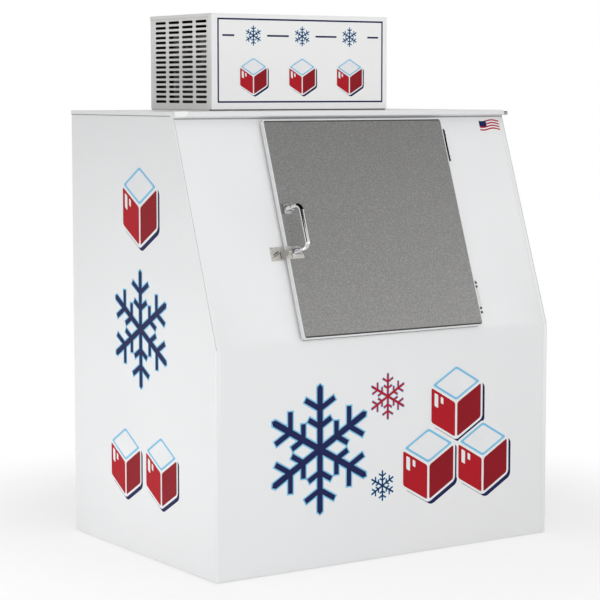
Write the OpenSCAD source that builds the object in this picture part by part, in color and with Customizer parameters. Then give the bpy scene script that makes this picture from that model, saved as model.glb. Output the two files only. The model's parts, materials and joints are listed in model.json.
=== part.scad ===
// Slant-front ice merchandiser freezer: an insulated sheet-steel cabinet with one side-hinged
// door in its sloping front, and a refrigeration unit under a louvred hood on its roof.
// Origin: middle of the base, on the floor. +X right, +Y to the back, +Z up. Millimetres.

/* [Cabinet] */
// Width over the side panels
body_w = 1295; // [1100:5:1900]
// Depth from the upright lower front to the back
body_d = 914; // [860:2:1100]
// Height of the bend where the front starts to slope
knee_h = 706; // [640:2:740]
// Height of the roof above the floor
roof_h = 1418; // [1400:2:1560]
// How far the top front edge stands behind the lower front
slope_setback = 254; // [200:2:300]

/* [Walls] */
// Thickness of the insulated side, front and back walls
wall_t = 50; // [40:1:60]
// Thickness of the insulated roof
roof_t = 62; // [50:1:80]
// Thickness of the insulated floor
floor_t = 52; // [40:1:70]
// Sheet thickness of the outer steel skins
skin_t = 1.2; // [0.8:0.1:2]
// Sheet thickness of the inner liner
liner_t = 0.9; // [0.6:0.1:1.5]
// Width of the side panels' flanges round the front and back edges
flange_w = 17; // [12:1:25]
// Height of the roof cap's folded-down rim
cap_rim_h = 12; // [8:1:20]
// Gap between the cabinet skins and the floor
skirt_gap = 3; // [1:0.5:6]
// Height of the channel runners under the base
runner_h = 38; // [25:1:60]
// Width of each runner
runner_w = 70; // [50:1:100]

/* [Door] */
// Width of the door over its edge frame
door_w = 700; // [600:5:800]
// How far the door's middle stands to the right of the cabinet's middle
door_x = 9; // [-10:1:20]
// Distance along the slope from the bend to the door's lower edge
door_low = 13; // [8:1:24]
// Distance along the slope from the door's upper edge to the roof
door_top_gap = 36; // [30:1:100]
// How far the door's face stands off the slope
door_face = 25; // [23:1:40]
// Thickness of the gasket between the door's back and the slope
gasket_t = 8; // [6:0.5:9]
// Overlap of the door past the door opening on each side
door_overlap = 35; // [30:1:45]
// Depth of the door's insulated plug inside the opening
plug_depth = 12; // [4:1:20]
// Clearance round the plug
plug_gap = 12; // [8:1:20]
// Radius of the door's corners
door_corner_r = 10; // [4:1:20]
// Width of the bright edge of the door frame round the skin
edge_w = 3; // [2:0.5:6]
// Width of the seams along the skin's upper and lower edges
skin_seam = 5; // [2:0.5:8]

/* [Door hardware] */
// Diameter of the hinge pins
pin_d = 8; // [6:0.5:10]
// Radial running clearance of the door knuckles on the pins
pin_clearance = 0.06; // [0.03:0.01:0.1]
// Diameter of the hinge knuckles
knuckle_d = 14; // [13:0.5:16]
// Length of each hinge
hinge_len = 110; // [90:2:130]
// Gap between the door's edge and the hinge knuckles
knuckle_gap = 1.5; // [1:0.25:5]
// Height of the hinge axis above the slope
hinge_off = 13; // [12:0.5:18]
// Distance from the door's ends to the middle of each hinge
hinge_inset = 93; // [75:1:110]
// Diameter of the pull handle's bar
bar_d = 16; // [12:0.5:17]
// Spacing of the handle's feet
pull_span = 139; // [120:1:180]
// How far the handle's bar stands off the door
pull_reach = 54; // [45:1:70]
// Distance along the door from its lower edge to the lower foot
pull_low = 275; // [240:1:340]
// Diameter of the padlock hole
lock_hole_d = 10; // [8:0.5:12]

/* [Hood] */
// Width of the hood
hood_w = 697; // [640:1:760]
// Depth of the hood
hood_d = 399; // [380:1:420]
// Height of the hood above the roof
hood_h = 314; // [300:2:360]
// Depth of the sign tray on the hood's front
sign_d = 20; // [12:1:30]
// Length of a louvre slot
slot_l = 70; // [50:1:72]
// Height of a louvre slot
slot_h = 9; // [6:0.5:10]
// Spacing of the slot columns
slot_pitch_y = 87.5; // [80:0.5:92]
// Spacing of the slot rows
slot_pitch_z = 16.3; // [14:0.05:18]

/* [Refrigeration] */
// Diameter of the condenser fan
fan_d = 200; // [160:2:220]
// Diameter of the evaporator fan
evap_fan_d = 92; // [80:2:98]
// Width of the condenser coil
coil_w = 270; // [240:2:280]
// Height of the condenser coil
coil_h = 240; // [230:2:250]
// Diameter of the compressor pot
pot_d = 168; // [140:2:180]
// Height of the compressor pot above its feet
pot_h = 190; // [160:2:210]
// Width of the evaporator housing
evap_w = 560; // [500:5:600]
// Depth of the evaporator housing
evap_d = 250; // [220:2:260]
// Height of the evaporator housing
evap_h = 140; // [130:1:160]
// Diameter of the refrigerant pipes
pipe_d = 10; // [6:0.5:12]

/* [Hidden] */
$fn = 48;

eps = 0.01;
through = 4;
// Air gap left between pieces on different bodies
part_gap = 0.3;
// The cabinet's planes
front_y = -body_d / 2;
back_y = body_d / 2;
side_x = body_w / 2;
slope_angle = atan(slope_setback / (roof_h - knee_h));
slope_len = norm([slope_setback, roof_h - knee_h]);
pan_top = runner_h + skin_t;
floor_top = pan_top + floor_t;
ceiling_z = roof_h - roof_t;
foam_in = wall_t - liner_t;
// Play between the foam and the bent front sheet, which stands a sheet's thickness in
foam_play = 0.02;
foam_out = 2 * skin_t + foam_play;
foam_floor_top = floor_top - liner_t;
foam_roof_low = ceiling_z + liner_t;
foam_x = side_x - foam_in;
// The door and its opening, measured along the slope from the bend
door_h = slope_len - door_low - door_top_gap;
open_w = door_w - 2 * door_overlap;
open_h = door_h - 2 * door_overlap;
breaker_t = 3;
breaker_lip = 12;
breaker_lip_t = 1.5;
door_mid = door_low + door_h / 2;
// The door's layers, measured outwards from the slope
front_face = -skin_t;
door_back = gasket_t;
back_lip_t = 1.5;
door_skin_t = 1;
seam_depth = 3;
field_h = door_h - 2 * (edge_w + skin_seam);
hinge_out = knuckle_d / 2 + knuckle_gap;
hinge_x = door_w / 2 + hinge_out;
hinge_upper = door_low + door_h - hinge_inset;
hinge_lower = door_low + hinge_inset;
hinge_plate_t = 3;
// The gasket on the door's back
gasket_inset = 12;
gasket_w = 14;
hinge_plate_in = hinge_out + gasket_inset - 2;
hinge_screw_x = 7 - hinge_plate_in;
// The pull handle and the padlock ears
pull_x = -door_w / 2 + 24;
pull_shift = 20;
foot_t = 6;
foot_w = 26;
foot_l = 34;
collar_d = bar_d + 4;
collar_l = 20;
foot_r = 6;
strap_t = 2;
ear_t = 3;
ear_gap = 1;
ear_d = 18;
ear_hole_off = door_face + ear_d / 2 + strap_t;
ear_mid = door_low + pull_low;
ear_x = -door_w / 2 - ear_t;
keeper_w = 43;
keeper_h = 43;
keeper_mid = ear_mid + 4;
keeper_t = 2.5;
screw_d = 5;
// The rain gutter's section and its distance below the roof edge
gutter_down = 22;
gutter_flange = gutter_down - 2;
gutter_depth = 18;
gutter_w = 15;
// The hood
hood_inset_y = 8;
hood_y1 = back_y - hood_inset_y;
hood_y0 = hood_y1 - hood_d;
hood_x = hood_w / 2;
hood_gap = 4;
hood_low = roof_h + hood_gap;
hood_top_z = roof_h + hood_h;
sheet_t = 1.5;
deck_z = roof_h + sheet_t;
panel_y0 = hood_y0 + sign_d;
slot_cols = 4;
slot_rows = 17;
slot_in = 13.5;
slot_up = 24.5;
slot_first_y = panel_y0 + slot_in + slot_l / 2;
slot_first_z = hood_low + slot_up;
bushing_d = 20;
bushing_in = 60;
bushing_up = 40;
bushing_x = hood_x - bushing_in;
bushing_z = hood_low + bushing_up;
// The condensing unit
coil_t = 44;
coil_x = -hood_x + 30;
coil_y0 = panel_y0 + 8;
coil_mid_y = coil_y0 + coil_w / 2;
coil_z0 = deck_z + 6;
coil_mid_z = coil_z0 + coil_h / 2;
coil_plate_t = 1.5;
shroud_t = 1.5;
shroud_x = coil_x + coil_t;
ring_depth = 32;
ring_gap = 5;
fan_hub_d = 54;
fan_hub_l = 26;
shaft_d = 8;
shaft_clearance = 0.06;
fan_x = shroud_x + shroud_t + 6;
fan_shaft_l = 34;
motor_x = fan_x + fan_hub_l + 8;
motor_d = 84;
motor_l = 70;
band_w = 30;
band_t = 3;
bracket_l = 70;
bracket_w = 90;
pot_in = 180;
pot_x = hood_x - pot_in;
pot_y = coil_mid_y;
pot_rim = 5;
lug_r = pot_d * 0.56;
stud_d = 9.4;
lug_w = 32;
lug_t = 4;
stub_l = 20;
stub_z_share = 0.42;
drier_d = 40;
drier_l = 110;
drier_stub = 16;
drier_x = hood_x - 40;
drier_y0 = pot_y - 28;
drier_z = deck_z + 34;
box_y0 = panel_y0 + 8;
box_w = 60;
box_h = 110;
box_x = hood_x - 20 - box_w;
pipe_bend = 18;
terminal_w = 60;
terminal_d = 34;
grommet_h = 14;
pot_base_z = deck_z + grommet_h;
// The evaporator unit under the ceiling
evap_y1 = back_y - wall_t - 20;
evap_y0 = evap_y1 - evap_d;
evap_low = ceiling_z - evap_h;
evap_fan_x = 150;
evap_fan_drop = 66;
evap_fan_z = ceiling_z - evap_fan_drop;
evap_fan_y = evap_y0 + 10;
evap_hole_d = evap_fan_d + 10;
wire = 3;
guard_past = 7;
ring_step = 16;
evap_hub_d = 34;
evap_hub_l = 20;
evap_shaft_d = 5;
evap_motor_r = 30;
evap_motor_l = 36;
evap_motor_y = evap_fan_y + evap_hub_l + 6;
evap_coil_d = 90;
evap_coil_y = evap_y1 - evap_coil_d - 12;
evap_coil_z = evap_low + 36;
plug_w = 240;
plug_l = 150;
plug_x = 0;
plug_y = evap_y1 - 20 - plug_l / 2;
pipe_y = evap_coil_y - 26;
liquid_x = plug_x - 40;
suction_x = plug_x + 40;
evap_pipe_drop = 60;
evap_pipe_z = ceiling_z - evap_pipe_drop;
drain_x = 200;
drain_d = 22;
drain_wall = 2;
pan_h = 28;

// Distance into the cabinet of the sloping front at a height, moved inwards by inset
function slope_y(z, inset) =
    front_y + (z - knee_h) * tan(slope_angle) + inset / cos(slope_angle);
// Height of the bend line for a layer moved inwards by inset
function knee_z(inset) = knee_h - inset * tan(slope_angle / 2);
// Side outline of the cabinet, each face moved inwards by its own amount
function outline(front, top, back, low) = [
    [front_y + front, low],
    [front_y + front, knee_z(front)],
    [slope_y(roof_h - top, front), roof_h - top],
    [back_y - back, roof_h - top],
    [back_y - back, low]];
// Side outline of the part of the cabinet above a height
function cap_outline(inset, top, low) = [
    [slope_y(low, inset), low],
    [slope_y(roof_h - top, inset), roof_h - top],
    [back_y - inset, roof_h - top],
    [back_y - inset, low]];
function unit(v) = v / norm(v);
function turn(a, b, c) = acos(min(1, max(-1, unit(b - a) * unit(c - b))));

// Solid with a side outline in Y and Z, between two places across the cabinet
module across(x0, x1, points) {
    translate([x0, 0, 0])
        rotate([90, 0, 90])
            linear_extrude(x1 - x0)
                polygon(points);
}

module block(low, high) {
    translate(low)
        cube(high - low);
}

// Frame of the sloping front: x across, y up the slope, z outwards
module on_slope() {
    translate([0, front_y, knee_h])
        rotate([90 - slope_angle, 0, 0])
            children();
}

// Frame on the slope for the door and its fittings
module on_door() {
    on_slope()
        translate([door_x, 0, 0])
            children();
}

module rounded(w, h, r) {
    square([w - 2 * r, h], center = true);
    square([w, h - 2 * r], center = true);
    for (x = [-1, 1], y = [-1, 1])
        translate([x * (w / 2 - r), y * (h / 2 - r)])
            circle(r);
}

// Plate on the door's middle, with rounded corners, between two heights off the slope
module door_plate(w, h, r, low, high) {
    translate([0, door_mid, low])
        linear_extrude(high - low)
            rounded(w, h, r);
}

// Square-cornered ring round the door's middle
module door_ring(w, h, width, low, high) {
    translate([0, door_mid, low])
        linear_extrude(high - low)
            difference() {
                square([w, h], center = true);
                square([w - 2 * width, h - 2 * width], center = true);
            }
}

module rod(a, b, d) {
    v = b - a;
    translate(a)
        rotate([0, atan2(norm([v.x, v.y]), v.z), atan2(v.y, v.x)])
            cylinder(d = d, h = norm(v));
}

// Bar or pipe along straight runs joined by round bends
module bent_rod(path, d, bend) {
    last = len(path) - 1;
    function trim(i) = (i == 0 || i == last) ? 0
        : bend * tan(turn(path[i - 1], path[i], path[i + 1]) / 2);
    for (i = [0 : last - 1]) {
        dir = unit(path[i + 1] - path[i]);
        rod(path[i] + trim(i) * dir, path[i + 1] - trim(i + 1) * dir, d);
    }
    for (i = [1 : last - 1])
        bend_piece(path[i - 1], path[i], path[i + 1], d, bend);
}

module bend_piece(a, b, c, d, bend) {
    u = unit(b - a);
    w = unit(c - b);
    inward = unit(w - u * (u * w));
    axis = cross(-inward, u);
    angle = turn(a, b, c);
    centre = b - u * bend * tan(angle / 2) + inward * bend;
    multmatrix([
        [-inward.x, u.x, axis.x, centre.x],
        [-inward.y, u.y, axis.y, centre.y],
        [-inward.z, u.z, axis.z, centre.z],
        [0, 0, 0, 1]])
        rotate_extrude(angle = angle)
            translate([bend, 0])
                circle(d = d);
}

// Fan blades round a hub with a shaft bore; the axis is z
module fan(d, hub_d, hub_l, bore_d, blades, pitch, blade_t) {
    blade_w = hub_l / sin(pitch) - 2;
    difference() {
        union() {
            cylinder(d = hub_d, h = hub_l);
            for (i = [0 : blades - 1])
                rotate([0, 0, i * 360 / blades])
                    translate([0, 0, hub_l / 2])
                        rotate([pitch, 0, 0])
                            translate([0, 0, -blade_t / 2])
                                linear_extrude(blade_t)
                                    fan_blade(d, hub_d, blade_w);
        }
        translate([0, 0, -through])
            cylinder(d = bore_d, h = hub_l + 2 * through);
    }
}

module fan_blade(d, hub_d, blade_w) {
    intersection() {
        circle(d = d);
        translate([hub_d / 2 - 4, -blade_w / 2])
            square([d, blade_w]);
        translate([d * 0.3, 0])
            circle(d = blade_w * 1.55);
    }
}

// Base

// Three channels with their webs on the floor
module base_runners() {
    inset = 20;
    runner_x = side_x - skin_t - runner_w / 2 - inset;
    web = 2.5;
    color("silver")
        for (x = [-runner_x, 0, runner_x])
            difference() {
                block([x - runner_w / 2, front_y + 2 * skin_t + inset, 0],
                    [x + runner_w / 2, back_y - 2 * skin_t - inset, runner_h]);
                block([x - runner_w / 2 + web, front_y, web],
                    [x + runner_w / 2 - web, back_y, runner_h + through]);
            }
}

module base_pan() {
    color("silver")
        block([-side_x + skin_t, front_y + 2 * skin_t, runner_h],
            [side_x - skin_t, back_y - 2 * skin_t, pan_top]);
}

// Outer skins

module side_panel() {
    color("white")
        difference() {
            across(-side_x, -side_x + flange_w, outline(0, skin_t, 0, skirt_gap));
            across(-side_x + skin_t, -side_x + flange_w + through,
                outline(skin_t, -through, skin_t, skirt_gap - through));
        }
}

module side_panel_left() side_panel();

module side_panel_right() mirror([1, 0, 0]) side_panel();

module back_panel() {
    color("white")
        difference() {
            block([-side_x + skin_t, back_y - 2 * skin_t, skirt_gap],
                [side_x - skin_t, back_y - skin_t, roof_h - skin_t]);
            drain_hole();
        }
}

module front_panel() {
    top_z = roof_h - skin_t;
    color("white")
        difference() {
            across(-side_x + skin_t, side_x - skin_t, [
                [front_y + skin_t, skirt_gap],
                [front_y + skin_t, knee_z(skin_t)],
                [slope_y(top_z, skin_t), top_z],
                [slope_y(top_z, 2 * skin_t), top_z],
                [front_y + 2 * skin_t, knee_z(2 * skin_t)],
                [front_y + 2 * skin_t, skirt_gap]]);
            opening_cut(breaker_t);
        }
}

module roof_cap() {
    color("white")
        difference() {
            across(-side_x - skin_t, side_x + skin_t,
                cap_outline(-skin_t, 0, roof_h - cap_rim_h));
            across(-side_x, side_x,
                cap_outline(0, skin_t, roof_h - cap_rim_h - through));
            plug_cut(0);
        }
}

// Cut for the door opening, wider than the clear opening by margin
module opening_cut(margin) {
    on_door()
        translate([0, door_mid, -wall_t - breaker_lip])
            linear_extrude(wall_t + 2 * breaker_lip)
                square([open_w + 2 * margin, open_h + 2 * margin], center = true);
}

// Hole in the roof for the insulated plug
module plug_cut(gap) {
    block([plug_x - plug_w / 2 - gap, plug_y - plug_l / 2 - gap, ceiling_z - through],
        [plug_x + plug_w / 2 + gap, plug_y + plug_l / 2 + gap, roof_h + through]);
}

module drain_hole() {
    translate([drain_x, back_y - wall_t - through, drain_z()])
        rotate([-90, 0, 0])
            cylinder(d = drain_d, h = wall_t + 2 * through);
}

function drain_z() = evap_low + skin_t + drain_d / 2 + 2;

// Insulation, foamed between skins and liner

module insulation_floor() {
    color("khaki")
        block([-foam_x, front_y + 2 * skin_t, pan_top],
            [foam_x, back_y - foam_in, foam_floor_top]);
}

module insulation_left() {
    color("khaki")
        across(-side_x + skin_t, -foam_x, outline(foam_out, skin_t, 2 * skin_t, pan_top));
}

module insulation_right() mirror([1, 0, 0]) insulation_left();

module insulation_back() {
    color("khaki")
        difference() {
            block([-foam_x, back_y - foam_in, pan_top],
                [foam_x, back_y - 2 * skin_t, roof_h - skin_t]);
            drain_hole();
        }
}

module insulation_roof() {
    top_z = roof_h - skin_t;
    color("khaki")
        difference() {
            across(-foam_x, foam_x, [
                [slope_y(foam_roof_low, foam_out), foam_roof_low],
                [slope_y(top_z, foam_out), top_z],
                [back_y - foam_in, top_z],
                [back_y - foam_in, foam_roof_low]]);
            plug_cut(0);
        }
}

module insulation_front() {
    color("khaki")
        across(-foam_x, foam_x, [
            [front_y + foam_out, foam_floor_top],
            [front_y + foam_out, knee_z(foam_out)],
            [front_y + foam_in, knee_z(foam_in)],
            [front_y + foam_in, foam_floor_top]]);
}

module insulation_slope() {
    color("khaki")
        difference() {
            across(-foam_x, foam_x, [
                [front_y + foam_out, knee_z(foam_out)],
                [slope_y(foam_roof_low, foam_out), foam_roof_low],
                [slope_y(foam_roof_low, foam_in), foam_roof_low],
                [front_y + foam_in, knee_z(foam_in)]]);
            opening_cut(breaker_t);
        }
}

module inner_liner() {
    color("gainsboro")
        difference() {
            across(-foam_x, foam_x,
                outline(foam_in, roof_h - foam_roof_low, foam_in, foam_floor_top));
            across(-foam_x + liner_t, foam_x - liner_t,
                outline(wall_t, roof_t, wall_t, floor_top));
            opening_cut(breaker_t);
            plug_cut(0);
            drain_hole();
        }
}

module opening_frame() {
    outer_w = open_w + 2 * breaker_t;
    outer_h = open_h + 2 * breaker_t;
    color("dimgray")
        on_door() {
            door_ring(outer_w, outer_h, breaker_t, -wall_t, front_face);
            door_ring(outer_w + 2 * breaker_lip, outer_h + 2 * breaker_lip,
                breaker_t + breaker_lip, -wall_t - breaker_lip_t, -wall_t);
        }
}

// Outside fittings

// Rain gutter across the top of the slope, with a closed left end and a drain spout
module rain_gutter() {
    metal = 2;
    spout_d = 12;
    spout_l = 18;
    spout_wall = 1.5;
    end_w = 52;
    end_in = 6;
    left_x = -side_x - skin_t - 1;
    right_x = side_x - end_in;
    color("whitesmoke")
        on_slope()
            translate([0, slope_len - gutter_down, skin_t]) {
                gutter_run(left_x, right_x)
                    gutter_section(metal);
                gutter_run(left_x, left_x + end_w)
                    gutter_fill();
                gutter_run(right_x - end_w, right_x - end_w + metal)
                    gutter_fill();
                translate([right_x - through, spout_d / 2 + metal / 2, gutter_depth / 2 + 1])
                    rotate([0, 90, 0])
                        difference() {
                            cylinder(d = spout_d, h = spout_l + through);
                            translate([0, 0, -1])
                                cylinder(d = spout_d - 2 * spout_wall,
                                    h = spout_l + 2 * through);
                        }
            }
}

// Length of gutter from a section: x of the section up the slope, y outwards
module gutter_run(x0, x1) {
    translate([x0, 0, 0])
        rotate([90, 0, 90])
            linear_extrude(x1 - x0)
                children();
}

module gutter_section(metal) {
    difference() {
        union() {
            square([gutter_flange, metal]);
            gutter_fill();
        }
        translate([metal, metal])
            square([gutter_flange, gutter_depth - 2 * metal]);
    }
}

module gutter_fill() {
    r = 5;
    square([gutter_w, gutter_depth - r]);
    translate([r, 0])
        square([gutter_w - r, gutter_depth]);
    translate([r, gutter_depth - r])
        circle(r);
}

// Hinges: a base on the slope carries a pin, and a strap on the door turns on it. The base's
// plate lies beside and partly under the door's edge, with its screws past the strap's ends

module hinge_base(mid) {
    end_l = hinge_len * 0.2;
    web = 10;
    plate_w = hinge_plate_in + web / 2 + 3;
    color("silver")
        on_door()
            translate([hinge_x, mid, 0])
                difference() {
                    union() {
                        translate([-hinge_plate_in, -hinge_len / 2, front_face])
                            cube([plate_w, hinge_len, hinge_plate_t]);
                        for (y = [-hinge_len / 2, hinge_len / 2 - end_l]) {
                            translate([-web / 2, y, front_face + eps])
                                cube([web, end_l, hinge_off - front_face]);
                            translate([0, y + end_l, hinge_off])
                                rotate([90, 0, 0])
                                    cylinder(d = knuckle_d, h = end_l);
                        }
                    }
                    translate([0, hinge_len, hinge_off])
                        rotate([90, 0, 0])
                            cylinder(d = pin_d + 2 * pin_clearance, h = 2 * hinge_len);
                    for (y = hinge_screw_places())
                        translate([hinge_screw_x, y, front_face - through])
                            cylinder(d = screw_d, h = hinge_plate_t + 2 * through);
                }
}

// Places of a hinge base's screws, from the hinge's middle
function hinge_screw_places() = [-hinge_len * 0.34, hinge_len * 0.34];

module hinge_base_upper() hinge_base(hinge_upper);

module hinge_base_lower() hinge_base(hinge_lower);

module hinge_pins() {
    head_t = 3;
    head_d = knuckle_d - 2;
    color("silver")
        on_door()
            for (mid = [hinge_upper, hinge_lower])
                translate([hinge_x, mid + hinge_len / 2, hinge_off])
                    rotate([90, 0, 0]) {
                        translate([0, 0, -head_t])
                            cylinder(d = head_d, h = head_t + eps);
                        cylinder(d = pin_d, h = hinge_len);
                    }
}

module hinge_strap(mid) {
    // Middle knuckle between the base's two end knuckles
    mid_l = hinge_len * 0.6 - 2 * part_gap;
    arm_t = 6;
    low = door_back + 1;
    high = door_face - 1;
    color("silver")
        on_door()
            translate([hinge_x, mid, 0])
                difference() {
                    union() {
                        translate([0, mid_l / 2, hinge_off])
                            rotate([90, 0, 0])
                                cylinder(d = knuckle_d, h = mid_l);
                        translate([-hinge_out + eps, -mid_l / 2, hinge_off - arm_t / 2])
                            cube([hinge_out, mid_l, arm_t]);
                        translate([-hinge_out, -mid_l / 2, low])
                            cube([hinge_plate_t, mid_l, high - low]);
                    }
                    translate([0, hinge_len, hinge_off])
                        rotate([90, 0, 0])
                            cylinder(d = pin_d + 2 * pin_clearance, h = 2 * hinge_len);
                }
}

module hinge_strap_upper() hinge_strap(hinge_upper);

module hinge_strap_lower() hinge_strap(hinge_lower);

// Padlock keeper on the slope: a plate with an upright flange beside the door's edge, which
// rises to a drilled ear above the door's face
module lock_keeper() {
    ear_right = ear_x - ear_gap;
    notch = [4, 24];
    notch_in = 10;
    staple_share = 0.56;
    staple_turn = 30;
    staple_r = 9;
    staple_d = 4;
    keeper_top = front_face + keeper_t;
    color("silver")
        on_door()
            difference() {
                union() {
                    translate([ear_right - keeper_w, keeper_mid - keeper_h / 2, front_face])
                        cube([keeper_w, keeper_h, keeper_t]);
                    translate([ear_right - ear_t, keeper_mid - keeper_h / 2, front_face])
                        cube([ear_t, keeper_h, door_back - front_face]);
                    translate([ear_right - keeper_w * staple_share, keeper_mid, keeper_top - 1])
                        rotate([90, 0, staple_turn])
                            rotate_extrude(angle = 180)
                                translate([staple_r, 0])
                                    circle(d = staple_d);
                    translate([ear_right - ear_t, ear_mid - ear_d / 2, front_face])
                        cube([ear_t, ear_d, ear_hole_off - front_face]);
                    ear_tip(ear_right - ear_t);
                }
                ear_hole(ear_right - ear_t);
                translate([ear_right - notch_in, keeper_mid - notch.y * 0.7, front_face - through])
                    cube([notch.x, notch.y, keeper_t + 2 * through]);
                for (y = keeper_screw_places())
                    translate([keeper_screw_x(), y, front_face - through])
                        cylinder(d = screw_d, h = keeper_t + 2 * through);
            }
}

function keeper_screw_x() = ear_x - ear_gap - keeper_w * 0.82;
function keeper_screw_places() = [keeper_mid - keeper_h * 0.32, keeper_mid + keeper_h * 0.32];

// Round tip of a padlock ear
module ear_tip(x) {
    translate([x, ear_mid, ear_hole_off])
        rotate([0, 90, 0])
            cylinder(d = ear_d, h = ear_t);
}

module ear_hole(x) {
    translate([x - through, ear_mid, ear_hole_off])
        rotate([0, 90, 0])
            cylinder(d = lock_hole_d, h = ear_t + 2 * through);
}

// Matching ear on the door, on a strap that runs under the handle's lower foot
module lock_strap() {
    margin = 3;
    plate_l = pull_x + foot_w / 2 + margin - ear_x;
    plate_w = foot_l + 2 * margin;
    tail_l = 16;
    tail_w = 13;
    color("silver")
        on_door()
            difference() {
                union() {
                    translate([ear_x, ear_mid - plate_w / 2, door_face])
                        cube([plate_l, plate_w, strap_t]);
                    translate([ear_x, ear_mid - plate_w / 2, door_face])
                        cube([plate_l + tail_l, tail_w, strap_t]);
                    translate([ear_x, ear_mid - ear_d / 2, door_face])
                        cube([ear_t, ear_d, ear_hole_off - door_face]);
                    ear_tip(ear_x);
                }
                ear_hole(ear_x);
            }
}

// Screws of the hinge bases and the keeper, with pan heads and shanks in the slope
module frame_screws() {
    color("silver")
        on_door() {
            for (mid = [hinge_lower, hinge_upper], y = hinge_screw_places())
                translate([hinge_x + hinge_screw_x, mid + y, front_face + hinge_plate_t])
                    pan_screw(hinge_plate_t);
            for (y = keeper_screw_places())
                translate([keeper_screw_x(), y, front_face + keeper_t])
                    pan_screw(keeper_t);
        }
}

// Screw whose head sits at z = 0 and whose shank fills a plate of thickness grip
module pan_screw(grip) {
    head_d = 9;
    head_t = 2;
    cylinder(d1 = head_d, d2 = head_d - 2.5, h = head_t);
    translate([0, 0, -grip])
        cylinder(d = screw_d, h = grip + eps);
}

// Door

// Part of the frame's pocket between the two seams, less a margin at their sides
module door_field(low, high, margin) {
    intersection() {
        door_plate(door_w - 2 * edge_w, door_h - 2 * edge_w, door_corner_r - edge_w + eps,
            low, high);
        translate([0, door_mid, low])
            linear_extrude(high - low)
                square([door_w, field_h - 2 * margin], center = true);
    }
}

// Skin whose upper and lower edges are folded in at the seams
module door_skin() {
    color("gray")
        on_door()
            difference() {
                door_field(door_face - seam_depth, door_face, 0);
                translate([0, door_mid, door_face - seam_depth - through])
                    linear_extrude(seam_depth + through - door_skin_t)
                        square([door_w, field_h - 2 * door_skin_t], center = true);
            }
}

module door_frame() {
    lip_w = door_overlap - 1;
    color("white")
        on_door()
            difference() {
                door_plate(door_w, door_h, door_corner_r, door_back, door_face);
                door_field(door_back + back_lip_t, door_face, 0);
                door_plate(door_w - 2 * edge_w, door_h - 2 * edge_w,
                    door_corner_r - edge_w + eps, door_face - seam_depth, door_face + through);
                translate([0, door_mid, door_back - through])
                    linear_extrude(2 * through)
                        square([door_w - 2 * lip_w, door_h - 2 * lip_w], center = true);
            }
}

module door_insulation() {
    color("khaki")
        on_door() {
            door_field(door_back + back_lip_t, door_face - seam_depth, 0);
            door_field(door_face - seam_depth, door_face - door_skin_t, door_skin_t);
            translate([0, door_mid, -plug_depth + liner_t])
                linear_extrude(door_back + back_lip_t + plug_depth - liner_t)
                    square([plug_size(open_w) - 2 * liner_t, plug_size(open_h) - 2 * liner_t],
                        center = true);
        }
}

function plug_size(opening) = opening - 2 * plug_gap;

module door_liner() {
    rim_w = door_w - 2 * (door_overlap - 1);
    rim_h = door_h - 2 * (door_overlap - 1);
    color("gainsboro")
        on_door()
            difference() {
                translate([0, door_mid, -plug_depth])
                    linear_extrude(door_back + back_lip_t + plug_depth)
                        square([plug_size(open_w), plug_size(open_h)], center = true);
                translate([0, door_mid, -plug_depth + liner_t])
                    linear_extrude(door_back + plug_depth + through)
                        square([plug_size(open_w) - 2 * liner_t, plug_size(open_h) - 2 * liner_t],
                            center = true);
            }
    color("gainsboro")
        on_door()
            translate([0, door_mid, door_back])
                linear_extrude(back_lip_t)
                    difference() {
                        square([rim_w, rim_h], center = true);
                        square([plug_size(open_w) - liner_t, plug_size(open_h) - liner_t],
                            center = true);
                    }
}

// Magnetic gasket: a base strip, a bellows neck and a magnet pocket
module door_gasket() {
    outer_w = door_w - 2 * gasket_inset;
    outer_h = door_h - 2 * gasket_inset;
    low = front_face + part_gap;
    pocket_t = 4;
    base_t = 2;
    neck_in = 3;
    color("dimgray")
        on_door() {
            door_ring(outer_w, outer_h, gasket_w, low, low + pocket_t);
            door_ring(outer_w - 2 * neck_in, outer_h - 2 * neck_in, gasket_w - 2 * neck_in,
                low + pocket_t, door_back - base_t);
            door_ring(outer_w, outer_h, gasket_w, door_back - base_t, door_back);
        }
}

// D-shaped pull that leans away from the door's edge, with a collar round the root of each
// leg. Its lower foot stands on the padlock strap and its upper foot, thicker by as much, on
// the door
module pull_handle() {
    lean = atan(pull_shift / pull_reach);
    seat = door_face + strap_t;
    root = foot_t / 2;
    bar_off = (pull_reach - strap_t - root) / cos(lean);
    color("silver")
        on_door() {
            translate([pull_x, ear_mid, seat + root])
                rotate([0, lean, 0]) {
                    bent_rod([
                        [0, pull_span, 0],
                        [0, pull_span, bar_off],
                        [0, 0, bar_off],
                        [0, 0, 0]], bar_d, bar_d * 1.2);
                    for (y = [0, pull_span])
                        translate([0, y, 1])
                            cylinder(d = collar_d, h = collar_l);
                }
            translate([pull_x, ear_mid, seat])
                linear_extrude(foot_t)
                    rounded(foot_w, foot_l, foot_r);
            translate([pull_x, ear_mid + pull_span, door_face])
                linear_extrude(foot_t + strap_t)
                    rounded(foot_w, foot_l, foot_r);
        }
}

// Countersunk screws near the outer ends of the feet
module handle_screws() {
    head_d = 5.6;
    head_t = 1.4;
    end_in = 3.8;
    color("silver")
        on_door()
            for (y = [-foot_l / 2 + end_in, pull_span + foot_l / 2 - end_in])
                translate([pull_x, ear_mid + y, door_face + strap_t + foot_t])
                    cylinder(d1 = head_d, d2 = head_d - 2, h = head_t);
}

// Hood

module hood_base() {
    inner_x = hood_x - sheet_t;
    rim_h = 22;
    color("silver")
        difference() {
            block([-inner_x, panel_y0, roof_h],
                [inner_x, hood_y1 - sheet_t, roof_h + rim_h]);
            block([-inner_x + sheet_t, panel_y0 + sheet_t, deck_z],
                [inner_x - sheet_t, hood_y1 - 2 * sheet_t, roof_h + rim_h + through]);
            plug_cut(0);
        }
}

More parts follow.
